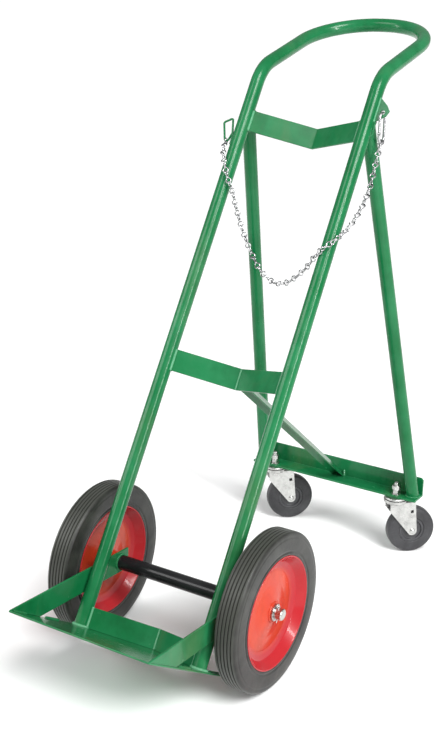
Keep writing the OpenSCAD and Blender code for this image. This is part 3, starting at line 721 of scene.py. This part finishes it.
# Rear legs and strut, in metres
LEG_TOP = 1.227
LEG_FOOT_X = 0.22
LEG_FOOT_Y = 0.471613
LEG_FOOT_Z = 0.162
LEG_FOOT_SEAM = 0.1626
STRUT_X = (-0.0155, 0.0155)
STRUT_SEAM = ((0.4868, 0.1640), (0.4868, 0.1760))
# Radius of the seam round the axle tube's end, in metres
AXLE_TUBE_SEAM = 0.0173
# How far a seam stands out of a tube's surface, lies under it, or is above what it is laid on
FOOT_PROUD = 0.0006
FOOT_LIFT = 0.0008
RAIL_SUNK = 0.0004
RAIL_LIFT = 0.0006
AXLE_TUBE_SUNK = 0.0008
LEG_PROUD = 0.0002
LEG_CLEAR = 0.0010
LEG_FOOT_PROUD = 0.0004
ROD_SUNK = 0.0002
# Radius of the lighter beads, as a share of the full one
BEAD_SHARES = {
    "bracket_weld": 0.9, "rail_weld": 0.9, "axle_tube_weld": 0.9, "strut_weld": 0.8,
    "tab_weld": 0.75, "eye_weld": 0.75, "fold_weld": 0.6,
}
# Steps round a tube's seam, and round an upright's foot
ROUND = 48
FOOT_ROUND = 40


def ring(centre, axis, radius, aside=(0.3, 0.1, 0.95)):
    """Points of a circle about an axis."""
    side = unit(axis.cross(Vector(aside)))
    other = axis.cross(side)
    turns = [2 * pi * k / ROUND for k in range(ROUND + 1)]
    return [Vector(centre) + radius * (cos(turn) * side + sin(turn) * other) for turn in turns]


def saddle(start, end, radius, hit):
    """The edge of a round leg's cut end: where its outside comes out of what hit(point) tells of."""
    step, farthest = 0.0005, 0.2
    axis = unit(end - start)
    points = []
    for edge in ring(start, axis, radius, (1, 0, 0)):
        run = 0.0
        while not hit(edge + axis * run) and run < farthest:
            run += step
        while hit(edge + axis * run) and run < farthest:
            run += step
        points.append(edge + axis * run)
    return points


def along_upright(x, run, n):
    """The ends of a weld run up along an upright."""
    return [leaning(x, s, n) for s in run]


def lay(name, seam):
    """A weld bead along a seam, as heavy as beads of its name are."""
    size = sizes()
    return bead(name, seam, size.weld * BEAD_SHARES.get(name, 1.0), size.weld_step)


class TROLLEY_OT_welds(bpy.types.Operator):
    """Weld beads at every joint of the frame"""
    bl_idname = "trolley.welds"
    bl_label = "Welds"

    def execute(self, context):
        wheel = context.scene.trolley_wheels
        ux, tube = sizes().upright_x, sizes().tube_radius
        side_x = ux + tube
        up = unit(leaning(0, 1, 0) - leaning(0, 0, 0))
        beads, covered = [], []
        for _, way in SIDES:
            out = tube + FOOT_PROUD
            turns = [2 * pi * k / FOOT_ROUND for k in range(FOOT_ROUND + 1)]
            seam = [leaning(way * ux + out * cos(t), FOOT_LIFT, out * sin(t)) for t in turns]
            beads.append(lay("foot_weld", seam))
            for run in BRACKET_RUNS:
                for x, n in BRACKET_SEAMS:
                    beads.append(lay("bracket_weld", along_upright(way * x, run, n)))
            rail = way * (side_x - RAIL_SUNK)
            for run in RAIL_RUNS:
                covered.append(lay("rail_weld", [leaning(rail, RAIL_LIFT, n) for n in run]))
            boss = (way * (side_x - AXLE_TUBE_SUNK), -wheel.axle_y, wheel.axle_z)
            covered.append(lay("axle_tube_weld", ring(boss, Vector((1, 0, 0)), AXLE_TUBE_SEAM)))
            top = leaning(way * ux, LEG_TOP, 0)
            foot = Vector((way * LEG_FOOT_X, LEG_FOOT_Y, LEG_FOOT_Z))

            def in_upright(point, base=leaning(way * ux, 0, 0)):
                off = point - base
                return (off - up * off.dot(up)).length < tube + LEG_CLEAR
            covered.append(lay("leg_weld", saddle(top, foot, tube + LEG_PROUD, in_upright)))
            down = unit(foot - top)
            seam = [
                point + down * ((LEG_FOOT_SEAM - point.z) / down.z)
                for point in ring(foot, down, tube + LEG_FOOT_PROUD)
            ]
            covered.append(lay("leg_foot_weld", seam))
        for run in BRACKET_RUNS[1:]:
            beads.append(lay("fold_weld", along_upright(0, run, FOLD_SEAM)))
        for n in ROD_SEAMS:
            beads.append(lay("tab_weld", along_upright(side_x - ROD_SUNK, TAB_RUN, n)))
            beads.append(lay("eye_weld", along_upright(ROD_SUNK - side_x, EYE_RUN, n)))
        for x in STRUT_X:
            beads.append(lay("strut_weld", [(x, *end) for end in STRUT_SEAM]))
        # These beads carry a painted highlight of light green; the beads round the axle tube, legs and
        # rails stay plain green
        paint(joined("weld_beads", *beads), "green_paint", "frame", "green enamel with painted weld highlights")
        paint(joined("round_weld_beads", *covered), "green_paint", "frame")
        return {"FINISHED"}


# ---- axle and main wheels --------------------------------------------------------------


class TROLLEY_OT_axle(bpy.types.Operator):
    """Axle bar, its washers and its split pins"""
    bl_idname = "trolley.axle"
    bl_label = "Axle"

    def execute(self, context):
        dressed("axle", "zinc_plate", "frame")
        for node in ("axle_inner_washers", "axle_outer_washers"):
            dressed(node, "zinc_plate", "frame", SOFT_EDGE)
        dressed("axle_split_pins", "zinc_plate", "frame")
        return {"FINISHED"}


def tyre_outline(wheel):
    """Round shoulders, a moulded step over the rim and grooves round the tread, in millimetres."""
    outer = wheel.wheel_radius / MM
    half = wheel.tyre_width / MM / 2
    lip = wheel.lip_radius / MM
    tread = half - 6.5  # half the width that the grooves share
    side = [
        (lip - 14, 6.2), (lip + 0.4, half - 1.5), (lip + 2.4, half - 0.1), (lip + 5.2, half - 0.1),
        (lip + 6.4, half - 1.5), (lip + 8.4, half - 1.7), (lip + 12, half - 0.2), (lip + 24, half),
        (outer - 15, half - 0.1), (outer - 12.6, half - 0.9), (outer - 8, half - 1.1),
        (outer - 4.2, half - 2.2), (outer - 1.4, half - 4.6), (outer - 0.3, half - 6.2),
    ]
    crown = []
    count = wheel.grooves
    depth = wheel.groove_depth / MM
    for i in reversed(range(count)):
        mid = (i - (count - 1) / 2) * 2 * tread / count
        wall = [(outer, 1.6), (outer - 0.35, 1.25), (outer - depth, 0.7)]
        crown += [(r, mid + z) for r, z in both_sides(wall)]
    return side + crown + [(r, -z) for r, z in reversed(side)]


def disc_outline(wheel):
    """Pressed disc, in millimetres: hub seat, cone, flat ring, rim wall and its rolled lip."""
    lip = wheel.lip_radius / MM
    half = wheel.tyre_width / MM / 2
    outline = [
        (20.0, 16.0), (24, 14.6), (50, 7.8), (60, 5.6), (86, 3.4), (90, 2.5), (107, 8),
        (lip - 3.4, half - 1.6), (lip - 2.2, half + 0.3), (lip, half + 0.4), (lip + 0.6, half - 0.6),
        (lip - 0.6, half - 2.0), (109.2, 5.9), (90.8, 0.02), (86, 0.02), (84, 1.0), (60, 3.1), (50, 5.4),
        (24, 12.1), (20.0, 13.4),
    ]
    return eased(outline, 2.0, 3)


def wheel_seat(wheel, way, flip=1):
    """Turned work stands on Z; a wheel's Z points outwards along the axle."""
    turn = Euler((0, radians(90) * way * flip, 0)).to_matrix().to_4x4()
    return Matrix.Translation((way * wheel.wheel_x, -wheel.axle_y, wheel.axle_z)) @ turn


# Outline of the bead between a hub and a disc, in millimetres
HUB_BEAD = [(19.9, 13.6), (19.9, 16.6), (20.6, 17.6), (22.4, 17.2), (23.6, 15.6), (23.4, 13.9)]


class TROLLEY_OT_wheels(bpy.types.Operator):
    """Tyres, pressed discs, hubs and bushes of the two main wheels"""
    bl_idname = "trolley.wheels"
    bl_label = "Main wheels"

    def execute(self, context):
        wheel = context.scene.trolley_wheels
        tyre = turned("tyre", eased(tyre_outline(wheel), 0.7, 2), wheel.steps)
        disc = turned("disc", disc_outline(wheel), wheel.steps)
        bead_ring = turned("hub_bead", eased(HUB_BEAD, 0.8, 2), FEW_STEPS)
        for side, way in SIDES:
            body = side + "_wheel"
            mounted(tyre, side + "_tyre", wheel_seat(wheel, way), "tyre_rubber", body)
            for face, flip in (("outer", 1), ("inner", -1)):
                name = side + "_" + face
                place = wheel_seat(wheel, way, flip)
                mounted(disc, name + "_disc", place, "red_paint", body)
                paint(seat(copy_of(bead_ring, name + "_hub_bead"), place), "red_paint", body)
            dressed(side + "_hub", "red_paint", body, HUB_EDGE)
            dressed(side + "_hub_bushes", "bronze", body)
        discard(tyre, disc, bead_ring)
        return {"FINISHED"}


# ---- casters ---------------------------------------------------------------------------


def caster_seat(caster, way):
    """The place of a caster wheel, turned about its swivel as the casters stand at rest."""
    swivel = Matrix.Translation((way * caster.swivel_x, caster.swivel_y, 0))
    turn = Matrix.Rotation(caster.turn, 4, "Z")
    axle = Matrix.Translation((0, caster.trail, caster.wheel_radius))
    return swivel @ turn @ axle @ Matrix.Rotation(radians(90), 4, "Y")


class TROLLEY_OT_casters(bpy.types.Operator):
    """Caps, forks, wheels, bolts and nuts of the two swivel casters"""
    bl_idname = "trolley.casters"
    bl_label = "Casters"

    def execute(self, context):
        caster = context.scene.trolley_casters
        half = caster.wheel_width / MM / 2
        outer = caster.wheel_radius / MM
        boss = half + 1.5
        face = half - 1
        core_side = [
            (6.05, boss), (13, boss), (14, boss - 1), (14.4, face - 4.6), (24.8, face - 3.4),
            (26, face - 2.6), (26.8, face), (28.2, face + 0.5), (29.6, face), (33, face - 0.2),
        ]
        tread_side = [
            (33.05, half - 2.2), (34.4, half - 0.5), (36, half), (outer - 9, half),
            (outer - 7.6, half - 0.7), (outer - 4.6, half - 1.1), (outer - 2.2, half - 2.6),
            (outer - 0.7, half - 5.2), (outer, half - 9),
        ]
        core = turned("core", eased(both_sides(core_side), 0.7, 2), FEW_STEPS)
        tread = turned("tread", eased(both_sides(tread_side), 0.8, 2), FEW_STEPS)
        for side, way in SIDES:
            body = side + "_caster"
            place = caster_seat(caster, way)
            mounted(core, body + "_core", place, "caster_plastic", body + "_wheel")
            mounted(tread, body + "_tyre", place, "caster_rubber", body + "_wheel")
            dressed(body + "_fork", "zinc_plate", body, FORK_EDGE)
            dressed(body + "_axle_bolt", "zinc_plate", body, FINE_EDGE)
            dressed(body + "_axle_nut", "zinc_plate", body, FINE_EDGE)
            dressed(body + "_bush", "zinc_plate", body)
            dressed(body + "_balls", "ball_steel", body)
            dressed(body + "_cap", "zinc_plate", "frame", SOFT_EDGE)
            dressed(body + "_stem", "zinc_plate", "frame", SOFT_EDGE)
        for node in ("caster_washers", "caster_nuts"):
            dressed(node, "zinc_plate", "frame", FINE_EDGE)
        discard(core, tread)
        return {"FINISHED"}


# ---- chain and hook --------------------------------------------------------------------

# The chain's route from the left eye to the snap hook. Across is a share of its half width, and
# below is in millimetres under the uprights' top. Behind is in millimetres, and where it is negative
# it is a share of the chain's reach in front of the uprights.
CHAIN_ROUTE = (
    (-1, 0, 191), (-0.97, -0.44, 209), (-0.92, -0.76, 229), (-0.83, -1, 257), (-0.74, -0.84, 287),
    (-0.66, -0.32, 313), (-0.565, 9, 352), (-0.445, 29, 395), (-0.32, 45, 430), (-0.13, 57, 469),
    (0.09, 58, 490), (0.32, 42, 489), (0.565, 14, 464), (0.72, -0.48, 440), (0.84, -1, 419),
    (0.945, -0.72, 395), (1, 6, 353), (1.02, 25, 305), (1.02, 36, 252), (1, 38, 202),
)
# Steps of the smooth curve from one mark of the route to the next
ROUTE_STEPS = 16
# The tab's hole, in metres: across, and below the uprights' top
HOLE_X = 0.182
HOLE_BELOW = 0.088
# Gap left between the wires of two linked loops, in metres
LINK_PLAY = 0.0004


def chain_points(chain, size):
    """The chain's route on the leaning uprights, as across, behind and up, in metres."""
    route = []
    for across, behind, below in CHAIN_ROUTE:
        depth = behind * chain.front if behind < 0 else behind * MM
        route.append(Vector((across * chain.half_width, depth, size.upright_length - below * MM)))
    drop = chain.hook_drop
    hole_height = size.upright_length - HOLE_BELOW
    route.append(Vector((HOLE_X, drop * sin(size.lean), hole_height - drop * cos(size.lean))))
    points = []
    last = len(route) - 1
    for k in range(ROUTE_STEPS * last + 1):
        i = min(k // ROUTE_STEPS, last - 1)
        t = k / ROUTE_STEPS - i
        a, b, c, d = route[max(i - 1, 0)], route[i], route[i + 1], route[min(i + 2, last)]
        points.append(0.5 * (2 * b + (c - a) * t + (2 * a - 5 * b + 4 * c - d) * t * t
                             + (3 * b - a - 3 * c + d) * t ** 3))
    return points


def along_route(points):
    """A function from a distance to the point there, and the whole length."""
    runs = [0.0]
    for a, b in zip(points, points[1:]):
        runs.append(runs[-1] + (b - a).length)

    def at(run):
        k = max(j for j in range(len(runs) - 1) if runs[j] <= run or j == 0)
        return points[k].lerp(points[k + 1], (run - runs[k]) / (runs[k + 1] - runs[k]))
    return at, runs[-1]


def link_wire(loop, wire_radius, reach):
    """One wire bent into two loops at right angles, with its strands twisted between them."""
    strand = wire_radius * 1.04  # the two strands all but touch
    gap = atan2(strand, loop)
    sweep = 2 * pi - 2 * gap
    twist = 1.5 * pi
    low = loop * cos(gap)
    high = reach - low
    bend, rise = 16, 10  # steps round a loop, and between the loops
    points = []
    for k in range(bend + 1):
        turn = gap + sweep * k / bend
        points.append(Vector((loop * sin(turn), 0, loop * cos(turn))))
    for k in range(1, rise):
        turn = pi + twist * k / rise
        height = low + (high - low) * k / rise
        points.append(Vector((strand * cos(turn), strand * sin(turn), height)))
    for k in range(bend + 1):
        turn = pi - gap - sweep * k / bend
        points.append(Vector((0, loop * sin(turn), reach + loop * cos(turn))))
    for k in range(1, rise):
        turn = -pi / 2 - twist * k / rise
        height = high + (low - high) * k / rise
        points.append(Vector((strand * cos(turn), strand * sin(turn), height)))
    return points


class TROLLEY_OT_chain(bpy.types.Operator):
    """Chain of knotted wire links along its hanging route"""
    bl_idname = "trolley.chain"
    bl_label = "Chain"

    def execute(self, context):
        chain, size = context.scene.trolley_chain, sizes()
        at, total = along_route(chain_points(chain, size))
        step = 2 * chain.loop - 2 * chain.wire - LINK_PLAY
        count = round((total + step) / chain.pitch)
        pitch = (total + step) / count
        reach = pitch - step
        pattern = closed_wire("link", link_wire(chain.loop, chain.wire, reach), chain.wire)
        origin = leaning(0, 0, 0)
        lean = Matrix.Translation(origin) @ Matrix.Rotation(-size.lean, 4, "X")
        links = []
        for i in range(count):
            start = at(i * pitch)
            ahead = unit(at(i * pitch + reach) - start)
            way = atan2(ahead.y, ahead.x)
            twist = way if ahead.z < 0 else -way
            spin = (Matrix.Rotation(way, 4, "Z") @ Matrix.Rotation(acos(ahead.z), 4, "Y")
                    @ Matrix.Rotation(radians(90) + twist, 4, "Z"))
            links.append(seat(copy_of(pattern, "link_copy"), lean @ Matrix.Translation(start) @ spin))
        discard(pattern)
        whole = joined("chain_finished", *links)
        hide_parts("chain")
        paint(whole, "zinc_plate", "frame", "chain zinc")
        return {"FINISHED"}


class TROLLEY_OT_hook(bpy.types.Operator):
    """Snap hook with its gate and rivet"""
    bl_idname = "trolley.hook"
    bl_label = "Snap hook"

    def execute(self, context):
        dressed("snap_hook", "zinc_plate", "frame", finish="chain zinc")
        dressed("snap_hook_gate", "zinc_plate", "hook_gate", FINE_EDGE, "chain zinc")
        dressed("snap_hook_rivet", "zinc_plate", "frame", SHARP_EDGE, "chain zinc")
        return {"FINISHED"}


# ---- stage -----------------------------------------------------------------------------


# The camera: its place across and along the trolley in metres, its turns in degrees, and its lens
CAMERA_X = 1.34211
CAMERA_Y = -2.278877
CAMERA_YAW = 32.68
CAMERA_PITCH = 18.88
CAMERA_ROLL = 0.76
CAMERA_LENS = 59.59
CAMERA_SHIFT = (0.0218, -0.0059)


def soft_light(name, place, target, width, height, power):
    """A narrow rectangular lamp that points at a target."""
    put_down()
    bpy.ops.object.light_add(type="AREA", location=place)
    light = bpy.context.object
    light.name = name
    light.data.shape = "RECTANGLE"
    light.data.size = width
    light.data.size_y = height
    light.data.energy = power
    light.rotation_euler = (Vector(target) - Vector(place)).to_track_quat("-Z", "Y").to_euler()


class TROLLEY_OT_stage(bpy.types.Operator):
    """Plain pale floor, soft studio light and the camera"""
    bl_idname = "trolley.stage"
    bl_label = "Stage"

    def execute(self, context):
        stage = context.scene.trolley_stage
        put_down()
        bpy.ops.mesh.primitive_plane_add(size=120, location=(0, 0, 0))
        floor = bpy.context.object
        floor.name = "floor"
        edit(floor)
        bpy.ops.mesh.subdivide(number_cuts=3)
        put_down()
        ground = Surface("pale floor", Roughness=0.9)
        ground.base(ground.ramp(ground.noise(0.8, 2), [
            (0.3, tuple(stage.floor)), (0.7, tuple(min(1, c * 1.01) for c in stage.floor))
        ]))
        floor.data.materials.append(ground.material)

        world = bpy.data.worlds.new("studio")
        context.scene.world = world
        world.use_nodes = True
        nodes, links = world.node_tree.nodes, world.node_tree.links
        room = nodes["Background"]
        room.inputs["Color"].default_value = (1, 1, 1, 1)
        room.inputs["Strength"].default_value = stage.sky
        backdrop = nodes.new("ShaderNodeBackground")
        backdrop.inputs["Color"].default_value = (1, 1, 1, 1)
        backdrop.inputs["Strength"].default_value = 1.0
        choice = nodes.new("ShaderNodeMixShader")
        rays = nodes.new("ShaderNodeLightPath")
        links.new(rays.outputs["Is Camera Ray"], choice.inputs[0])
        links.new(room.outputs["Background"], choice.inputs[1])
        links.new(backdrop.outputs["Background"], choice.inputs[2])
        links.new(choice.outputs["Shader"], nodes["World Output"].inputs["Surface"])
        for name, turn, share in (("flood", (38, 12, 42), 1.0), ("fill", (52, 0, -38), 0.32)):
            put_down()
            aim = [radians(v) for v in turn]
            bpy.ops.object.light_add(type="SUN", location=(0, 0, 4), rotation=aim)
            flood = bpy.context.object
            flood.name = name
            flood.data.energy = stage.sun * share
            flood.data.angle = radians(26)
        soft_light("right_strip", (3.0, -0.9, 1.9), (0, 0.1, 0.6), 0.22, 2.6, stage.strip)
        soft_light("left_strip", (-3.2, -1.8, 2.0), (0, 0, 0.5), 0.4, 2.2, stage.strip * 0.5)
        context.scene.view_settings.view_transform = "Standard"

        bpy.ops.object.camera_add(location=(CAMERA_X, CAMERA_Y, stage.eye_height))
        camera = bpy.context.object
        camera.name = "camera"
        yaw, pitch, roll = (radians(turn) for turn in (CAMERA_YAW, CAMERA_PITCH, CAMERA_ROLL))
        backward = Vector((sin(yaw) * cos(pitch), -cos(yaw) * cos(pitch), sin(pitch)))
        across = Vector((cos(yaw), sin(yaw), 0))
        upward = backward.cross(across)
        right = across * cos(roll) + upward * sin(roll)
        top = upward * cos(roll) - across * sin(roll)
        camera.rotation_euler = Matrix((right, top, backward)).transposed().to_euler()
        camera.data.lens = CAMERA_LENS
        camera.data.sensor_width = 36
        camera.data.shift_x, camera.data.shift_y = CAMERA_SHIFT
        context.scene.camera = camera
        return {"FINISHED"}


class TROLLEY_PT_panel(bpy.types.Panel):
    bl_idname = "TROLLEY_PT_panel"
    bl_label = "Gas cylinder trolley"
    bl_space_type = "VIEW_3D"
    bl_region_type = "UI"
    bl_category = "Trolley"

    def draw(self, context):
        for group in GROUPS:
            settings = getattr(context.scene, group)
            for key in settings.bl_rna.properties.keys():
                if key not in ("rna_type", "name"):
                    self.layout.prop(settings, key)
        for step in STEPS:
            self.layout.operator(step.bl_idname)


GROUPS = {
    "trolley_sizes": TrolleySizes,
    "trolley_wheels": WheelSizes,
    "trolley_casters": CasterSizes,
    "trolley_chain": ChainSizes,
    "trolley_finishes": TrolleyFinishes,
    "trolley_stage": TrolleyStage,
}
STEPS = (
    TROLLEY_OT_finishes, TROLLEY_OT_stage, TROLLEY_OT_tubes, TROLLEY_OT_bars, TROLLEY_OT_welds,
    TROLLEY_OT_axle, TROLLEY_OT_wheels, TROLLEY_OT_casters, TROLLEY_OT_chain, TROLLEY_OT_hook,
)


def register():
    for item in (*GROUPS.values(), *STEPS, TROLLEY_PT_panel):
        bpy.utils.register_class(item)
    for name, group in GROUPS.items():
        setattr(bpy.types.Scene, name, PointerProperty(type=group))


def unregister():
    for name in GROUPS:
        delattr(bpy.types.Scene, name)
    for item in reversed((*GROUPS.values(), *STEPS, TROLLEY_PT_panel)):
        bpy.utils.unregister_class(item)


def main():
    register()
    for step in STEPS:
        group, name = step.bl_idname.split(".")
        getattr(getattr(bpy.ops, group), name)()
    put_down()


if __name__ == "__main__":
    main()
